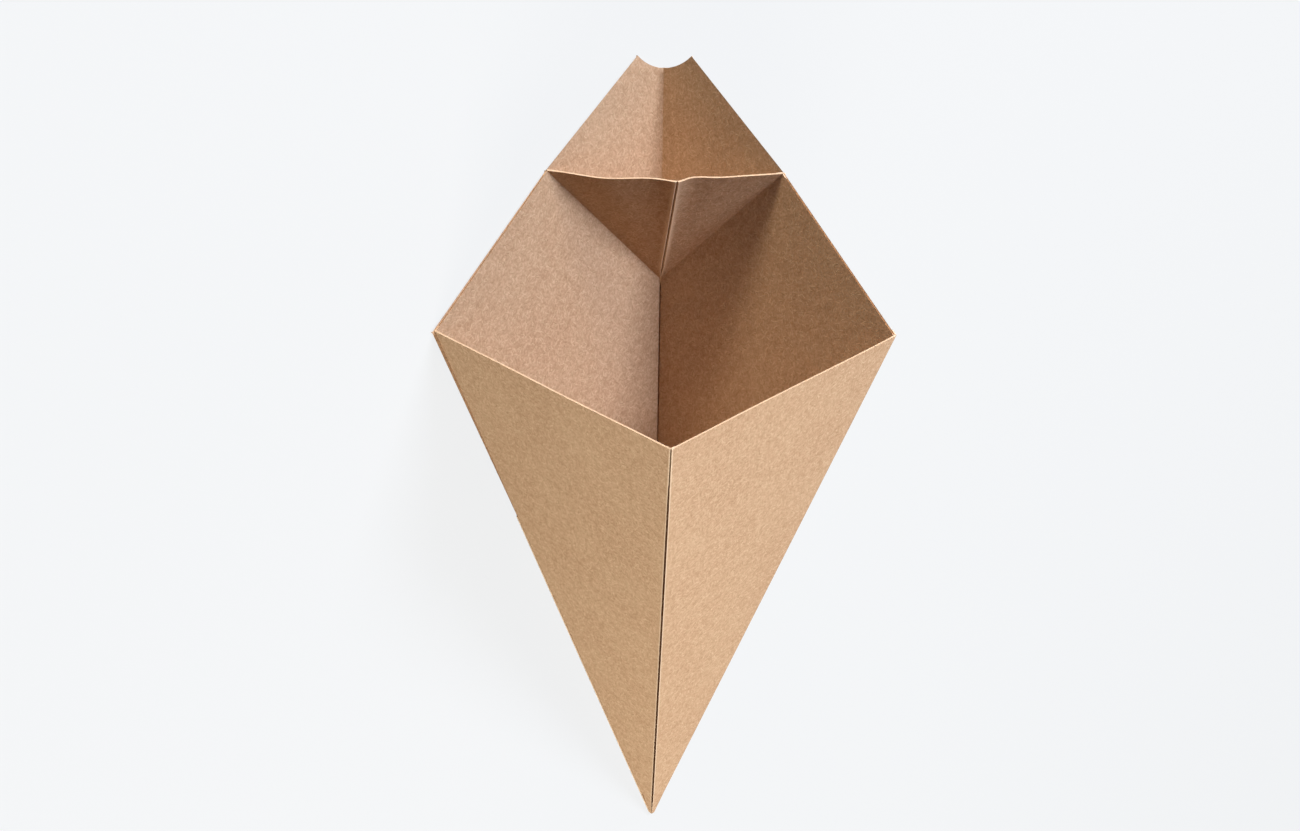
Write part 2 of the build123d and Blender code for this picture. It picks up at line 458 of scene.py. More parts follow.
def part_turn(turn, part):
    """Part of a rotation, as a quaternion."""
    axis, full = turn.to_axis_angle()
    return Matrix.Rotation(full * part, 3, axis).to_quaternion()


def smooth(value, low, high):
    part = min(max((value - low) / (high - low), 0.0), 1.0)
    return part * part * (3 - 2 * part)


def spread(first, last, step):
    """Places between two places of a panel, about a step apart, without the two ends."""
    count = max(1, ceil((last - first).length / step))
    return [first.lerp(last, i / count) for i in range(1, count)]


def near_edge(place, loop):
    """Distance from a place to the nearest side of a closed loop, and whether it lies inside."""
    nearest = 1.0
    inside = False
    for here, after in zip(loop, loop[1:] + loop[:1]):
        side = after - here
        part = min(max((place - here).dot(side) / side.length_squared, 0.0), 1.0)
        nearest = min(nearest, (place - here - side * part).length)
        if (here.y > place.y) != (after.y > place.y):
            if place.x < here.x + (place.y - here.y) / (after.y - here.y) * side.x:
                inside = not inside
    return nearest, inside


def unbent(place):
    return 0.0


class Border:
    """Points round a panel, in order: lines of its folds, corners, and the cut edges between them."""

    # Distance from the end of a cut edge to its last point before the corner, in metres
    END = 0.0004
    # Places closer than this are one point of the net, in metres
    SNAP = 1e-8

    def __init__(self, sheet, panel, sizes, line, bend=unbent, fine=1.0):
        self.sheet = sheet
        self.panel = panel
        self.sizes = sizes
        self.bend = bend
        self.step = fine * sizes.mesh_step
        self.points = []
        self.follow(line)

    def place_of(self, point):
        return self.panel.local(self.sheet.outer[point])

    def follow(self, line):
        """Adds a line that a fold has laid."""
        self.points += line
        self.end = self.place_of(line[-1])

    def corner(self, place):
        self.points.append(self.sheet.add_on(self.panel, place))
        self.end = place

    def cut_to(self, goal, slant=0.0, edge=None, skin=None):
        """Adds a cut edge up to a corner or to a fold's line, and then that corner or line.

        On a slanted cut one skin, the outer one unless another is given, stops short of the other.
        """
        at_corner = isinstance(goal, Vector)
        first = self.end
        last = goal if at_corner else self.place_of(goal[0])
        close = self.END / (last - first).length
        places = [first.lerp(last, close), *spread(first, last, self.step), last.lerp(first, close)]
        points = [self.sheet.add_on(self.panel, place, self.bend(place)) for place in places]
        if slant:
            skin = self.sheet.outer if skin is None else skin
            _, inwards = self.panel.edge(*(edge or (first, last)))
            for point in points:
                skin[point] = skin[point] + inwards * self.sizes.cut_slant * slant
        self.points += points
        if at_corner:
            self.corner(goal)
        else:
            self.follow(goal)

    def fill(self, fine=1.0):
        """Fills the panel inside its border with an even net of triangles."""
        step = fine * self.sizes.mesh_step
        places = [self.place_of(point) for point in self.points]
        low = Vector((min(p.x for p in places), min(p.y for p in places)))
        high = Vector((max(p.x for p in places), max(p.y for p in places)))
        row_step = step * sqrt(0.75)
        inner = []
        for row in range(1, ceil((high.y - low.y) / row_step)):
            for column in range(ceil((high.x - low.x) / step)):
                place = Vector((low.x + (column + 0.5 * (row % 2)) * step, low.y + row * row_step))
                distance, inside = near_edge(place, places)
                if inside and distance > 0.5 * step:
                    inner.append(place)
        owners = self.points + [self.sheet.add_on(self.panel, place, self.bend(place)) for place in inner]
        count = len(places)
        sides = [(i, (i + 1) % count) for i in range(count)]
        _, _, faces, origins, _, _ = delaunay_2d_cdt(places + inner, sides, [], 1, self.SNAP)
        for face in faces:
            self.sheet.face([owners[origins[corner][0]] for corner in face])


def stations(run, step, bias=1.0):
    count = max(2, ceil(run / step))
    return [(i / count) ** bias for i in range(count + 1)]


# Necks of the folds: share of the full width at the start, and run up to the full width in metres
LONG_NECK = (0.1, 0.008)
PLY_NECK = (0.5, 0.010)
POCKET_NECK = (0.08, 0.005)
# Power by which the points of a long fold crowd towards the tip
LONG_BIAS = 1.15
# Half-cut creases: side of the groove, its darkness (painted shade), and the paleness beside its lips
# (torn fibres with a painted highlight)
FRONT_CREASE = (1, 1.0, 0.0)
POCKET_CREASE = (-1, 0.08, 0.45)
# How much of the front groove's painted shade is lost at the mouth, where it opens to the light
FRONT_SHADE_FADE = 0.85
# Slants of the cut edges, as shares of the full slant
FRONT_SLANTS = {"right": 0.45, "left": 0.3}
PLY_SLANT = 0.6
LIP_SLANTS = {"right": 0.35, "left": 0.4}
# Wave of the front panels: pace along and across, seeds, and where it rises beside a fold, in metres
WAVE_PACE = (22.0, 30.0)
WAVE_SEEDS = {"right": 3.7, "left": 9.1}
WAVE_REACH = (0.002, 0.022)
# Curve of a pocket lip, as shares of its length: places and widths of its hollow and of its swell
HOLLOW_AT = 0.17
HOLLOW_WIDTHS = (0.13, 0.19)
SWELL_AT = 0.58
SWELL_WIDTH = 0.22
# Parts of a lip over which its curve sets in beside the crease and beside the pocket corner
CREASE_HOLD = (0.0, 0.1)
CORNER_HOLD = (0.02, 0.2)
# The left lip's hollow and the right lip's swell, as shares of the other lip's
LEFT_HOLLOW = 0.45
RIGHT_SWELL = -0.2
# Mesh steps of the pocket, as shares of the sheet's: along its folds, on its rim and inside it
POCKET_RUN = 0.5
POCKET_RIM = 0.2
POCKET_NET = 0.3
# Gaps that the pocket's folds and the seam leave at the pocket's bottom, in metres
POCKET_START = 0.0005
SEAM_STOP = 0.0012
# Steps round each half of the finger notch
NOTCH_PARTS = 6


def fold_sheet(sizes):
    """Folds the blank and gives the sheet's points and faces."""
    lines = ConeLines(sizes)
    sheet = Sheet()
    step = sizes.mesh_step
    board = sizes.board
    turn = sizes.panel_angle
    tip = lines.tip
    single = (0.0, -board)
    double = (-board - sizes.ply_gap, -2 * board)

    # Panels round the cone, in the order of the blank
    outer_left = cone_panel(lines, lines.back, lines.left, single, turn, -1)
    outer_right = cone_panel(lines, lines.back, lines.right, single, turn, 1)
    front_right = cone_panel(lines, lines.front, lines.right, single, 3 * turn, -1)
    front_left = cone_panel(lines, lines.front, lines.left, single, 3 * turn, 1)
    inner_left = cone_panel(lines, lines.back, lines.left, double, 5 * turn, -1)

    # Pocket panels, with their front faces through the pocket's bottom and its corners
    inward = -(outer_left.outside + outer_right.outside).normalized()
    bottom = tip + lines.back * lines.pocket_seat + inward * (2 * board / sin(lines.dihedral / 2))
    corner_left = outer_left.point(lines.shoulder, -2 * board)
    corner_right = outer_right.point(lines.shoulder, -2 * board)
    height = (corner_left - bottom).dot(lines.axis)
    lip = (
        bottom
        + lines.axis * height
        + lines.forward * sizes.pocket_reach
        + lines.sideways * sizes.pocket_lean
    )
    crease = (lip - bottom).normalized()
    seat_angle = atan2(lines.shoulder.y, sizes.pocket_drop)
    angle_left = crease.angle(corner_left - bottom)
    angle_right = crease.angle(corner_right - bottom)
    seat_flat = inner_left.flat((lines.pocket_seat, 0.0))
    crease_ray = 5 * turn - seat_angle + angle_left

    def pocket_panel(corner, hand):
        middle = (bottom + lip + corner) / 3
        away = -lines.forward
        skins = (board, 0.0)
        return Panel(bottom, crease, corner - bottom, away, skins, middle, seat_flat, crease_ray, hand)

    pocket_left = pocket_panel(corner_left, -1)
    pocket_right = pocket_panel(corner_right, 1)
    right_ray = crease_ray + angle_right - seat_angle
    seat_turned = Matrix.Rotation(right_ray, 2) @ Vector((lines.pocket_seat, 0.0))
    inner_right = cone_panel(lines, lines.back, lines.right, double, right_ray, 1)
    inner_right.flat_origin = seat_flat - seat_turned

    # Cut edges that trim the folds
    tip_trim = (tip + lines.axis * sizes.tip_cut, lines.axis)
    tip_trims = (tip_trim, tip_trim)
    side = lines.side_corner
    step_back = Vector((-sizes.ply_step, 0.0))
    front_edge = (Vector((sizes.front_fold, 0.0)), side)
    inner_edge = (side + step_back, lines.shoulder + step_back)
    lip_place = Vector(((lip - bottom).length, 0.0))
    lip_left = pocket_left.local(corner_left)
    lip_right = pocket_right.local(corner_right)
    front_left_rim = front_left.edge(*front_edge)
    front_right_rim = front_right.edge(*front_edge)
    inner_left_rim = inner_left.edge(*inner_edge)
    inner_right_rim = inner_right.edge(*inner_edge)
    lip_left_rim = pocket_left.edge(lip_place, lip_left)
    lip_right_rim = pocket_right.edge(lip_place, lip_right)

    def start_of(direction):
        return tip + direction * (sizes.tip_cut / direction.dot(lines.axis))

    def long_ends(direction, run):
        return start_of(direction), tip + direction * run

    def pressed(panels, ends, neck, trims, run):
        fold = Fold(sheet, panels, ends, neck, trims)
        return fold.lay(fold.pressed, (sizes.fold_radius,), run)

    def half_cut(panels, ends, neck, trims, run, kind, **more):
        fold = Fold(sheet, panels, ends, neck, trims)
        look = (sizes.crease_lip, sizes.crease_depth, sizes.crease_rise, *kind)
        return fold.lay(fold.half_cut, look, run, **more)

    # Long folds
    long_run = stations(sizes.side_fold, step, LONG_BIAS)
    back_a, back_b = pressed(
        (outer_left, outer_right), long_ends(lines.back, lines.notch_base), LONG_NECK,
        (tip_trims, None), stations(lines.notch_base, step, LONG_BIAS),
    )
    right_a, right_b = pressed(
        (outer_right, front_right), long_ends(lines.right, sizes.side_fold), LONG_NECK,
        (tip_trims, (outer_right.edge(side, lines.shoulder), front_right_rim)), long_run,
    )
    front_a, front_b = half_cut(
        (front_right, front_left), long_ends(lines.front, sizes.front_fold), LONG_NECK,
        (tip_trims, (front_right_rim, front_left_rim)), long_run, FRONT_CREASE, shade_fade=FRONT_SHADE_FADE,
    )
    left_a, left_b = pressed(
        (front_left, inner_left), [tip + lines.left * run for run in (sizes.ply_start, sizes.side_fold)],
        PLY_NECK, (None, (front_left_rim, inner_left_rim)), long_run,
    )

    # The pocket's lips curve a little beside their stiff crease
    def lip_curve(corner, hollow, swell):
        def curve(place):
            across = place.y / corner.y
            up = (place.x - across * corner.x) / lip_place.x
            reach = up + across
            part = across / reach if reach > 0 else 0.0
            held = smooth(part, *CREASE_HOLD) * smooth(1.0 - part, *CORNER_HOLD)
            width = HOLLOW_WIDTHS[0] if part < HOLLOW_AT else HOLLOW_WIDTHS[1]
            dip = hollow * exp(-(((part - HOLLOW_AT) / width) ** 2))
            bow = dip - swell * exp(-(((part - SWELL_AT) / SWELL_WIDTH) ** 2))
            return bow * held * reach**2
        return curve

    curve_left = lip_curve(lip_left, LEFT_HOLLOW * sizes.lip_hollow, sizes.lip_swell)
    curve_right = lip_curve(lip_right, sizes.lip_hollow, RIGHT_SWELL * sizes.lip_swell)

    # Folds of the pocket
    def from_bottom(corner):
        return bottom + (corner - bottom).normalized() * POCKET_START, corner

    pocket_run = stations((corner_left - bottom).length, POCKET_RUN * step)
    seat_a, seat_b = pressed(
        (inner_left, pocket_left), from_bottom(corner_left), POCKET_NECK,
        (None, (inner_left_rim, lip_left_rim)), pocket_run,
    )
    lip_a, lip_b = half_cut(
        (pocket_left, pocket_right), from_bottom(lip), POCKET_NECK,
        (None, (lip_left_rim, lip_right_rim)), pocket_run, POCKET_CREASE, curves=(curve_left, curve_right),
    )
    seat_c, seat_d = pressed(
        (pocket_right, inner_right), from_bottom(corner_right), POCKET_NECK,
        (None, (lip_right_rim, inner_right_rim)), pocket_run,
    )

    # Outer back panels, up to the peak and the finger notch
    def over_peak(panel, line):
        border = Border(sheet, panel, sizes, line)
        first = border.end.y
        for part in range(1, NOTCH_PARTS):
            across = first + (sizes.notch_half - first) * part / NOTCH_PARTS
            sag = lines.notch_radius - sqrt(lines.notch_radius**2 - across**2)
            border.corner(Vector((lines.notch_base + sag, across)))
        border.corner(lines.peak)
        border.cut_to(lines.shoulder, 1.0)
        return border

    border = over_peak(outer_left, back_a)
    border.cut_to(lines.glue_end, 1.0)
    border.cut_to(lines.glue_start, 1.0)
    border.cut_to(outer_left.local(start_of(lines.left)))
    border.fill()

    border = over_peak(outer_right, back_b)
    border.cut_to(right_a[::-1], 1.0, (lines.shoulder, side))
    border.fill()

    # Front panels, with the slight wave of a sheet that only its folds hold
    def front_wave(seed):
        def wave(place):
            reach = min(place.y, place.x * sin(turn) - place.y * cos(turn))
            roll = noise.noise(Vector((place.x * WAVE_PACE[0], place.y * WAVE_PACE[1], seed)))
            return sizes.front_warp * smooth(reach, *WAVE_REACH) * roll
        return wave

    border = Border(sheet, front_right, sizes, right_b, front_wave(WAVE_SEEDS["right"]))
    border.cut_to(front_a[::-1], FRONT_SLANTS["right"], front_edge, sheet.inner)
    border.fill()

    border = Border(sheet, front_left, sizes, front_b, front_wave(WAVE_SEEDS["left"]))
    border.cut_to(left_a[::-1], FRONT_SLANTS["left"], front_edge, sheet.inner)
    left_low = meet(front_left, 0.0, inner_left, inner_left.skins[0], start_of(lines.left))
    border.cut_to(front_left.local(slide(left_low, lines.left, tip_trim)))
    border.fill()

    # Inner plies, whose raw edges meet along the back fold
    half = lines.dihedral / 2
    seam = (0.5 * sizes.seam_gap + 1.5 * board * cos(half)) / sin(half)
    seam_low = Vector((sizes.ply_start, seam))
    seam_high = Vector((lines.pocket_seat - SEAM_STOP, seam))
    border = Border(sheet, inner_left, sizes, left_b)
    border.cut_to(seat_a[::-1], PLY_SLANT, inner_edge)
    border.corner(seam_high)
    border.cut_to(seam_low)
    border.fill()

    raw_low, raw_high = (
        meet(inner_right, -1.5 * board, front_right, -board - sizes.ply_gap, tip + lines.right * run)
        for run in (sizes.ply_start, sizes.side_fold)
    )
    border = Border(sheet, inner_right, sizes, seat_d)
    border.cut_to(inner_right.local(slide(raw_high, lines.right, inner_right_rim)), 1.0, inner_edge)
    border.cut_to(inner_right.local(raw_low))
    border.corner(seam_low)
    border.cut_to(seam_high)
    border.fill()

    # Pocket panels
    for panel, line, seat, corner, curve, slant in (
        (pocket_left, lip_a, seat_b, lip_left, curve_left, LIP_SLANTS["left"]),
        (pocket_right, lip_b, seat_c, lip_right, curve_right, LIP_SLANTS["right"]),
    ):
        border = Border(sheet, panel, sizes, line, curve, POCKET_RIM)
        border.cut_to(seat[::-1], slant, (lip_place, corner))
        border.fill(POCKET_NET)
    return sheet


def thick_mesh(name, sheet):
    """Closed mesh from the sheet's two skins, with cut edges in a material slot of their own."""
    count = len(sheet.outer)
    faces = list(sheet.faces)
    faces += [tuple(corner + count for corner in reversed(face)) for face in sheet.faces]
    skins = len(faces)
    sides = {}
    for face in sheet.faces:
        for here, after in zip(face, face[1:] + face[:1]):
            sides[here, after] = True
    for here, after in sides:
        if (after, here) not in sides:
            faces.append((after, here, here + count, after + count))
    mesh = bpy.data.meshes.new(name)
    mesh.from_pydata(sheet.outer + sheet.inner, [], faces)
    slots = [0] * skins + [1] * (len(faces) - skins)
    mesh.polygons.foreach_set("material_index", slots)
    mesh.polygons.foreach_set("use_smooth", [True] * len(faces))
    blank = mesh.uv_layers.new(name="blank")
    flat = sheet.flat + sheet.flat
    places = []
    for loop in mesh.loops:
        place = flat[loop.vertex_index] / BLANK_WIDTH
        places += [place.x, place.y]
    blank.data.foreach_set("uv", places)
    # Masks for the face material: crease lips (torn fibres with a painted highlight) and groove bottoms
    # (painted shade)
    for number, title in enumerate(("crease", "groove")):
        mark = mesh.attributes.new(title, "FLOAT", "POINT")
        values = [marks[number] for marks in sheet.outer_marks + sheet.inner_marks]
        mark.data.foreach_set("value", [float(value) for value in values])
    mesh.set_sharp_from_angle(angle=SHARP)
    mesh.validate()
    mesh.update()
    return mesh


def put_in_scene(piece):
    bpy.context.scene.collection.objects.link(piece)
    return piece


# Distance between two nodes in the node editor
NODE_SPACING = 190


def node(tree, kind, inputs=None, **settings):
    """Adds a node with its properties and with values or links for its inputs, and gives its outputs.

    In the editor it stands to the right of the nodes that feed it.
    """
    inputs = inputs or {}
    made = tree.nodes.new(kind)
    feeds = [value.node.location.x for value in inputs.values() if isinstance(value, bpy.types.NodeSocket)]
    column = max(feeds, default=0) + NODE_SPACING
    row = sum(other.location.x == column for other in tree.nodes)
    made.location = (column, -row * NODE_SPACING)
    for key, value in settings.items():
        setattr(made, key, value)
    for key, value in inputs.items():
        if isinstance(value, bpy.types.NodeSocket):
            tree.links.new(value, made.inputs[key])
        else:
            made.inputs[key].default_value = value
    return made.outputs


def math_node(tree, operation, *values, clamp=False):
    inputs = dict(enumerate(values))
    return node(tree, "ShaderNodeMath", inputs, operation=operation, use_clamp=clamp)[0]


def add_sockets(tree, way, kinds):
    for title, kind in kinds.items():
        tree.interface.new_socket(title, in_out=way, socket_type="NodeSocket" + kind)


def fibre_group():
    """Shader group: short fibres strewn over the flat blank, each in a direction of its own."""
    tree = bpy.data.node_groups.new("strewn_fibres", "ShaderNodeTree")
    kinds = dict.fromkeys(("Spacing", "Length", "Width", "Share"), "Float")
    add_sockets(tree, "INPUT", {"Place": "Vector", **kinds})
    add_sockets(tree, "OUTPUT", {"Fibre": "Float"})
    taken = node(tree, "NodeGroupInput")
    scale = math_node(tree, "DIVIDE", 1.0, taken["Spacing"])
    inputs = {"Vector": taken["Place"], "Scale": scale, "Randomness": 1.0}
    cells = node(tree, "ShaderNodeTexVoronoi", inputs, voronoi_dimensions="2D")
    inputs = {0: taken["Place"], 1: cells["Position"]}
    offset = node(tree, "ShaderNodeVectorMath", inputs, operation="SUBTRACT")[0]
    chance = node(tree, "ShaderNodeSeparateColor", {0: cells["Color"]})
    spin = math_node(tree, "MULTIPLY", chance[0], 2 * pi)
    inputs = {"Vector": offset, "Angle": spin}
    turned = node(tree, "ShaderNodeVectorRotate", inputs, rotation_type="Z_AXIS")[0]
    parts = node(tree, "ShaderNodeSeparateXYZ", {0: turned})
    bow = math_node(tree, "MULTIPLY", parts[0], parts[0])
    lean = math_node(tree, "SUBTRACT", chance[1], 0.5)
    bow = math_node(tree, "MULTIPLY", bow, lean)
    across = math_node(tree, "ADD", parts[1], bow)
    # A fibre fades from a share of its half length and half width on
    falls = []
    for value, size, start in ((parts[0], "Length", 0.5), (across, "Width", 0.2)):
        part = math_node(tree, "ABSOLUTE", value)
        part = math_node(tree, "DIVIDE", part, taken[size])
        falls.append(ranged(tree, part, 0.5 * start, 0.5, 1.0, 0.0, interpolation_type="SMOOTHSTEP"))
    kept = math_node(tree, "LESS_THAN", chance[2], taken["Share"])
    mask = math_node(tree, "MULTIPLY", *falls)
    mask = math_node(tree, "MULTIPLY", mask, kept)
    node(tree, "NodeGroupOutput", {"Fibre": mask})
    return tree


def fibres(tree, group, blank, spacing, fibre_length, width, part):
    values = {"Place": blank, "Spacing": spacing, "Length": fibre_length, "Width": width, "Share": part}
    return node(tree, "ShaderNodeGroup", values, node_tree=group)["Fibre"]


def blend_colour(tree, first, second, part, amount):
    """Mixes a colour into another by a mask times an amount."""
    weight = math_node(tree, "MULTIPLY", part, amount, clamp=True)
    if not isinstance(first, bpy.types.NodeSocket):
        first = (*first, 1.0)
    inputs = {0: weight, 6: first, 7: (*second, 1.0)}
    return node(tree, "ShaderNodeMix", inputs, data_type="RGBA")[2]


def new_material(name):
    material = bpy.data.materials.new(name)
    material.use_nodes = True
    tree = material.node_tree
    tree.nodes.clear()
    return material, tree


def show(tree, shade, inputs):
    """Ends a material in a shader with the given colour and inputs."""
    shader = node(tree, "ShaderNodeBsdfPrincipled", {"Base Color": shade, **inputs})
    node(tree, "ShaderNodeOutputMaterial", {"Surface": shader[0]})


def relief(tree, height, strength, depth):
    inputs = {"Strength": strength, "Distance": depth, "Height": height}
    return node(tree, "ShaderNodeBump", inputs)[0]


def in_millimetres(tree, vector, scale):
    inputs = {"Vector": vector, "Scale": (scale * 1000,) * 3}
    return node(tree, "ShaderNodeMapping", inputs)[0]


def mark_of(tree, title):
    return node(tree, "ShaderNodeAttribute", attribute_name=title)["Fac"]


def soft_noise(tree, vector, scale, detail):
    inputs = {"Vector": vector, "Scale": scale, "Detail": detail, "Roughness": 0.6}
    return node(tree, "ShaderNodeTexNoise", inputs)[0]


def ranged(tree, value, low, high, to_low=0.0, to_high=1.0, **settings):
    inputs = {"Value": value, "From Min": low, "From Max": high, "To Min": to_low, "To Max": to_high}
    return node(tree, "ShaderNodeMapRange", inputs, **settings)["Result"]


def face_material(finish, group):
    """Bare face of the board: mottled kraft with pale and dark fibres, specks and opened creases, with a
    painted highlight on their lips and painted shade in their grooves.
    """
    material, tree = new_material("kraft_face")
    flat = node(tree, "ShaderNodeUVMap", uv_map="blank")[0]
    flat = in_millimetres(tree, flat, BLANK_WIDTH)
    long = finish.fibre_length * 1000
    wide = finish.fibre_width * 1000
    pale = fibres(tree, group, flat, 0.8 * long, long, wide, 0.55)
    dark = fibres(tree, group, flat, 0.95 * long, 0.9 * long, 0.9 * wide, 0.42)
    long_pale = fibres(tree, group, flat, 2.9 * long, 2.9 * long, 1.1 * wide, 0.5)
    specks = fibres(tree, group, flat, 4.5, 0.55, 0.4, 0.16)
    grain = soft_noise(tree, flat, 1.5, 3.0)
    cloud = soft_noise(tree, flat, 0.45, 3.0)
    drift = soft_noise(tree, flat, 0.045, 2.0)
    # Opened creases have pale torn lips, lightened further by a painted highlight and broken by the
    # fibres, and a bottom darkened by painted shade
    torn_and_highlight = ranged(tree, grain, 0.15, 0.5)
    torn_and_highlight = math_node(tree, "MULTIPLY", mark_of(tree, "crease"), torn_and_highlight)
    groove_shade = ranged(tree, mark_of(tree, "groove"), 0.0, 0.12)
    groove_shade = math_node(tree, "MULTIPLY", groove_shade, ranged(tree, grain, 0.2, 0.4, 0.75, 1.0))
    shade = finish.kraft
    for tint, mask, amount in (
        (finish.dark_fibre, ranged(tree, grain, 0.4, 0.75), 0.5),
        (finish.pale_fibre, ranged(tree, grain, 0.55, 0.25), 0.5),
        (finish.pale_fibre, pale, 0.6),
        (finish.pale_fibre, long_pale, 0.35),
        (finish.dark_fibre, dark, 0.52),
        (finish.dark_fibre, specks, 0.8),
        (finish.dark_fibre, ranged(tree, cloud, 0.42, 0.75), 0.44),
        (finish.pale_fibre, ranged(tree, drift, 0.4, 0.8), 0.18),
        # Torn fibres with a painted highlight on the crease lips, then painted shade in the grooves
        (finish.torn_and_highlight, torn_and_highlight, 0.95),
        (finish.groove, groove_shade, 1.0),
    ):
        shade = blend_colour(tree, shade, tint, mask, amount)
    rough = ranged(tree, grain, 0.2, 0.8, finish.roughness - 0.08, finish.roughness + 0.1)
    height = math_node(tree, "MULTIPLY", pale, 0.5)
    height = math_node(tree, "ADD", height, grain)
    height = math_node(tree, "ADD", height, math_node(tree, "MULTIPLY", cloud, 0.8))
    bump = relief(tree, height, 0.35, 0.00012)
    show(tree, shade, {"Roughness": rough, "Specular IOR Level": 0.15, "Normal": bump})
    return material


def edge_material(finish, group):
    """Cut edge of the board: fresh pale fibres with darker lines between them."""
    material, tree = new_material("kraft_cut_edge")
    place = node(tree, "ShaderNodeTexCoord")["Object"]
    place = in_millimetres(tree, place, 1.0)
    grain = soft_noise(tree, place, 1.6, 3.0)
    strands = fibres(tree, group, place, 0.5, 0.6, 0.1, 0.6)
    mottle = ranged(tree, grain, 0.42, 0.75)
    shade = blend_colour(tree, finish.cut, finish.kraft, mottle, 0.7)
    shade = blend_colour(tree, shade, finish.dark_fibre, strands, 0.18)
    bump = relief(tree, grain, 0.4, 0.0001)
    show(tree, shade, {"Roughness": 0.9, "Specular IOR Level": 0.2, "Normal": bump})
    return material


def loose_fibre_material(finish):
    """Loose fibres: pale, slightly uneven in tone."""
    material, tree = new_material("kraft_loose_fibre")
    place = node(tree, "ShaderNodeTexCoord")["Object"]
    tone = ranged(tree, soft_noise(tree, place, 900.0, 1.0), 0.4, 0.7)
    shade = blend_colour(tree, finish.cut, finish.kraft, tone, 0.8)
    show(tree, shade, {"Roughness": 0.7})
    return material


def fibre_tree(material):
    """Geometry Nodes: thin bowed fibres that stand on the faces they are given."""
    tree = bpy.data.node_groups.new("stand_fibres", "GeometryNodeTree")
    kinds = dict.fromkeys(("Density", "Length", "Width", "Lean"), "Float")
    add_sockets(tree, "INPUT", {"Geometry": "Geometry", **kinds, "Seed": "Int"})
    add_sockets(tree, "OUTPUT", {"Geometry": "Geometry"})
    taken = node(tree, "NodeGroupInput")
    seed = taken["Seed"]
    inputs = {"Mesh": taken["Geometry"], "Density": taken["Density"], "Seed": seed}
    strewn = node(tree, "GeometryNodeDistributePointsOnFaces", inputs)
    # One bowed fibre of unit length, three-sided
    bends = {"Start": (0.0, 0.0, -0.1), "Middle": (0.12, 0.0, 0.55), "End": (0.5, 0.1, 0.9)}
    line = node(tree, "GeometryNodeCurveQuadraticBezier", {"Resolution": 3, **bends})[0]
    thin = math_node(tree, "DIVIDE", taken["Width"], taken["Length"])
    thin = math_node(tree, "MULTIPLY", thin, 0.5)
    inputs = {"Resolution": 3, "Radius": thin}
    ring = node(tree, "GeometryNodeCurvePrimitiveCircle", inputs)[0]
    inputs = {"Curve": line, "Profile Curve": ring, "Fill Caps": True}
    tube = node(tree, "GeometryNodeCurveToMesh", inputs)[0]
    # Lean, spin and size of each fibre
    inputs = {0: taken["Lean"], 1: taken["Lean"], 2: pi}
    widest = node(tree, "ShaderNodeCombineXYZ", inputs)[0]
    inputs = {0: widest, "Scale": -1.0}
    least = node(tree, "ShaderNodeVectorMath", inputs, operation="SCALE")[0]
    inputs = {0: least, 1: widest, "Seed": seed}
    lean = node(tree, "FunctionNodeRandomValue", inputs, data_type="FLOAT_VECTOR")[0]
    turn = node(tree, "FunctionNodeEulerToRotation", {0: lean})[0]
    inputs = {0: strewn["Rotation"], 1: turn}
    facing = node(tree, "FunctionNodeRotateRotation", inputs, rotation_space="LOCAL")[0]
    inputs = {2: 0.3, 3: 1.0, "Seed": seed}
    size = node(tree, "FunctionNodeRandomValue", inputs, data_type="FLOAT")[1]
    size = math_node(tree, "MULTIPLY", size, taken["Length"])
    inputs = {"Points": strewn["Points"], "Instance": tube, "Rotation": facing, "Scale": size}
    stood = node(tree, "GeometryNodeInstanceOnPoints", inputs)[0]
    real = node(tree, "GeometryNodeRealizeInstances", {0: stood})[0]
    done = node(tree, "GeometryNodeSetMaterial", {0: real, "Material": material})[0]
    node(tree, "NodeGroupOutput", {0: done})
    return tree


def cut_faces(mesh):
    """Copy of the cut edges and of the crease walls, as a mesh of its own."""
    groove = mesh.attributes["groove"].data
    corners = {}
    faces = []
    for face in mesh.polygons:
        grooved = any(groove[i].value > 0.5 for i in face.vertices)
        if face.material_index == 1 or grooved:
            faces.append([corners.setdefault(i, len(corners)) for i in face.vertices])
    edges = bpy.data.meshes.new("cut_edges")
    edges.from_pydata([mesh.vertices[i].co.copy() for i in corners], [], faces)
    edges.update()
    return edges


class SERVINGCONE_OT_sheet(bpy.types.Operator):
    """Folds the sheet of kraft board into the cone with its dip pocket"""

    bl_idname = "serving_cone.sheet"
    bl_label = "Fold Sheet"

    def execute(self, context):
        finish = context.scene.cone_finish
        group = fibre_group()
        mesh = thick_mesh("folded_sheet", fold_sheet(context.scene.cone_sheet))
        mesh.materials.append(face_material(finish, group))
        mesh.materials.append(edge_material(finish, group))
        piece = put_in_scene(bpy.data.objects.new("folded_sheet", mesh))
        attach(piece, "root")
        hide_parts("cone_cup")
        return {"FINISHED"}


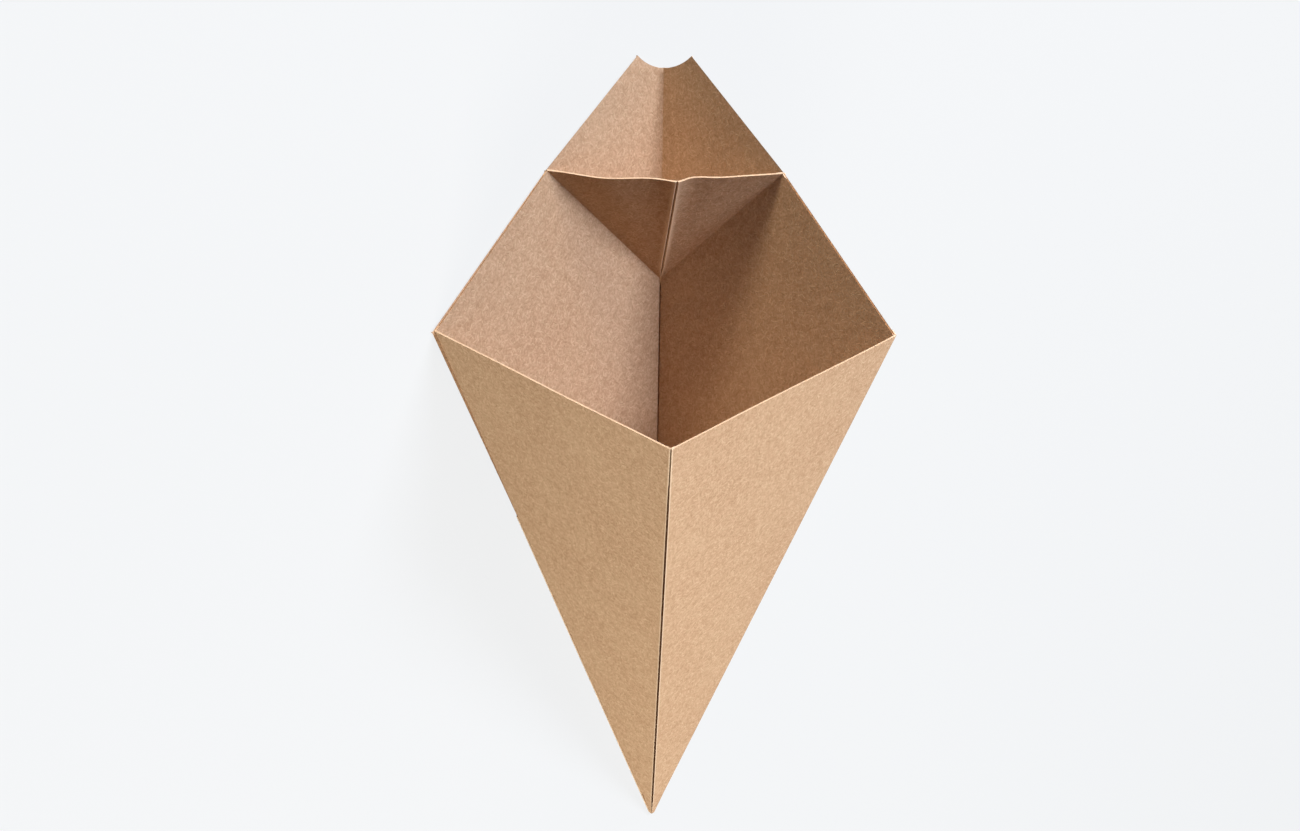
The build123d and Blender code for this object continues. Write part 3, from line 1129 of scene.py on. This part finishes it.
class SERVINGCONE_OT_fibres(bpy.types.Operator):
    """Stands loose fibres on the cut edges and in the half-cut creases"""

    bl_idname = "serving_cone.fibres"
    bl_label = "Raise Cut Fibres"

    def execute(self, context):
        sizes = context.scene.cone_fibres
        sheet = bpy.data.objects.get("folded_sheet")
        if sheet is None:
            raise RuntimeError("fold the sheet first")
        material = loose_fibre_material(context.scene.cone_finish)
        tree = fibre_tree(material)
        piece = put_in_scene(bpy.data.objects.new("cut_fibres", cut_faces(sheet.data)))
        raising = piece.modifiers.new("stand_fibres", "NODES")
        raising.node_group = tree
        values = {
            "Density": sizes.density * 1e6,
            "Length": sizes.fibre_length,
            "Width": sizes.fibre_width,
            "Lean": sizes.lean,
            "Seed": sizes.seed,
        }
        for socket in tree.interface.items_tree:
            if socket.in_out == "INPUT" and socket.name in values:
                raising[socket.identifier] = values[socket.name]
        depsgraph = context.evaluated_depsgraph_get()
        mesh = bpy.data.meshes.new_from_object(piece.evaluated_get(depsgraph))
        piece.modifiers.remove(raising)
        piece.data = mesh
        mesh.name = "cut_fibres"
        if len(mesh.polygons) == 0:
            raise RuntimeError("no fibres were made")
        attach(piece, "root")
        return {"FINISHED"}


def camera_axes(stage, lines):
    """Right, up and back of the camera, which looks at the cone as if it stood on its tip."""
    level = cos(stage.rise)
    back = (
        lines.sideways * (-sin(stage.turn) * level)
        + lines.forward * (cos(stage.turn) * level)
        + lines.axis * sin(stage.rise)
    )
    right = lines.axis.cross(back).normalized()
    up = back.cross(right)
    return (
        right * cos(stage.roll) + up * sin(stage.roll),
        up * cos(stage.roll) - right * sin(stage.roll),
        back,
    )


def lamp(target, name, heading, height, watts, distance, width, tint):
    """Square lamp that looks at its target from a heading and a height."""
    data = bpy.data.lights.new(name + "_lamp", "AREA")
    data.size = width
    data.energy = watts
    data.color = tint
    made = put_in_scene(bpy.data.objects.new(data.name, data))
    towards = Vector((cos(heading) * cos(height), sin(heading) * cos(height), sin(height)))
    made.location = target + towards * distance
    made.rotation_euler = (made.location - target).to_track_quat("Z", "Y").to_euler()


def floor_material(stage):
    """Pale floor that shows the camera an even tone with a faint shadow, and throws little light back."""
    material, tree = new_material("pale_floor")
    tone = (*stage.floor_colour, 1.0)
    quiet = node(tree, "ShaderNodeBsdfDiffuse", {"Color": (stage.floor_bounce,) * 3 + (1.0,)})
    lit = node(tree, "ShaderNodeBsdfDiffuse", {"Color": tone})
    even = node(tree, "ShaderNodeEmission", {"Color": tone})
    inputs = {0: 1.0 - stage.floor_shadow, 1: lit[0], 2: even[0]}
    shown = node(tree, "ShaderNodeMixShader", inputs)
    path = node(tree, "ShaderNodeLightPath")
    seen = math_node(tree, "MAXIMUM", path["Is Camera Ray"], path["Is Glossy Ray"])
    seen = math_node(tree, "MAXIMUM", seen, path["Is Transmission Ray"])
    mix = node(tree, "ShaderNodeMixShader", {0: seen, 1: quiet[0], 2: shown[0]})
    node(tree, "ShaderNodeOutputMaterial", {"Surface": mix[0]})
    return material


# Sides of the square lamps and height of their target above the tip, in metres
KEY_WIDTH = 0.35
LAMP_WIDTH = 0.3
TARGET_HEIGHT = 0.12
# Tints of the lamps, from cool to warm
KEY_TINT = (0.86, 0.9, 1.0)
FILL_TINT = (1.0, 0.92, 0.77)
MOUTH_TINT = (1.0, 0.86, 0.66)
SIDE_TINT = (1.0, 0.95, 0.9)


class SERVINGCONE_OT_stage(bpy.types.Operator):
    """Sets the pale floor, the soft lamps and the camera"""

    bl_idname = "serving_cone.stage"
    bl_label = "Set Stage"

    def execute(self, context):
        scene = context.scene
        stage = scene.cone_stage
        lines = ConeLines(scene.cone_sheet)
        half = stage.floor_size / 2
        low = lines.tip.z - stage.floor_drop
        corners = [(x * half, y * half, low) for x, y in ((-1, -1), (1, -1), (1, 1), (-1, 1))]
        mesh = bpy.data.meshes.new("floor")
        mesh.from_pydata(corners, [], [(0, 1, 2, 3)])
        mesh.materials.append(floor_material(stage))
        floor = put_in_scene(bpy.data.objects.new("floor", mesh))
        middle = lines.tip + lines.axis * TARGET_HEIGHT
        far = stage.lamp_distance
        near = stage.fill_distance
        wide = LAMP_WIDTH
        for row in (
            ("key", stage.key_heading, stage.key_height, stage.key_power, far, KEY_WIDTH, KEY_TINT),
            ("fill", stage.fill_heading, stage.fill_height, stage.fill_power, near, wide, FILL_TINT),
            ("mouth", stage.mouth_heading, stage.mouth_height, stage.mouth_power, far, wide, MOUTH_TINT),
            ("side", stage.side_heading, stage.side_height, stage.side_power, far, wide, SIDE_TINT),
        ):
            lamp(middle, *row)
        world = bpy.data.worlds.new("even_sky")
        world.use_nodes = True
        sky = world.node_tree.nodes["Background"]
        sky.inputs["Color"].default_value = (1.0, 1.0, 1.0, 1.0)
        sky.inputs["Strength"].default_value = stage.sky
        scene.world = world
        scene.view_settings.view_transform = "Standard"
        right, up, back = camera_axes(stage, lines)
        data = bpy.data.cameras.new("camera")
        data.lens = stage.lens
        data.sensor_fit = "HORIZONTAL"
        data.sensor_width = 36.0
        data.clip_start = 0.01
        data.dof.use_dof = False
        camera = put_in_scene(bpy.data.objects.new("camera", data))
        place = lines.tip + up * stage.aim_up + right * stage.aim_right + back * stage.distance
        turn = Matrix((right, up, back)).transposed().to_4x4()
        camera.matrix_world = Matrix.Translation(place) @ turn
        scene.camera = camera
        return {"FINISHED"}


class SERVINGCONE_PT_panel(bpy.types.Panel):
    """Sizes, finish and steps of the serving cone"""

    bl_idname = "SERVINGCONE_PT_panel"
    bl_label = "Serving Cone"
    bl_space_type = "VIEW_3D"
    bl_region_type = "UI"
    bl_category = "Serving Cone"

    def draw(self, context):
        scene = context.scene
        for title, group in (
            ("Sheet", scene.cone_sheet),
            ("Finish", scene.cone_finish),
            ("Loose fibres", scene.cone_fibres),
            ("Stage", scene.cone_stage),
        ):
            box = self.layout.box()
            box.label(text=title)
            for key in group.__annotations__:
                box.prop(group, key)
        for step in STEPS:
            self.layout.operator(step.bl_idname)


GROUPS = {
    "cone_sheet": SheetSizes,
    "cone_finish": BoardFinish,
    "cone_fibres": FibreSizes,
    "cone_stage": StageSizes,
}
STEPS = (SERVINGCONE_OT_sheet, SERVINGCONE_OT_fibres, SERVINGCONE_OT_stage)


def register():
    for key, group in GROUPS.items():
        bpy.utils.register_class(group)
        setattr(bpy.types.Scene, key, PointerProperty(type=group))
    for step in STEPS:
        bpy.utils.register_class(step)
    bpy.utils.register_class(SERVINGCONE_PT_panel)


def unregister():
    bpy.utils.unregister_class(SERVINGCONE_PT_panel)
    for step in reversed(STEPS):
        bpy.utils.unregister_class(step)
    for key, group in reversed(GROUPS.items()):
        delattr(bpy.types.Scene, key)
        bpy.utils.unregister_class(group)


def main():
    register()
    bpy.ops.serving_cone.sheet()
    bpy.ops.serving_cone.fibres()
    bpy.ops.serving_cone.stage()


if __name__ == "__main__":
    main()
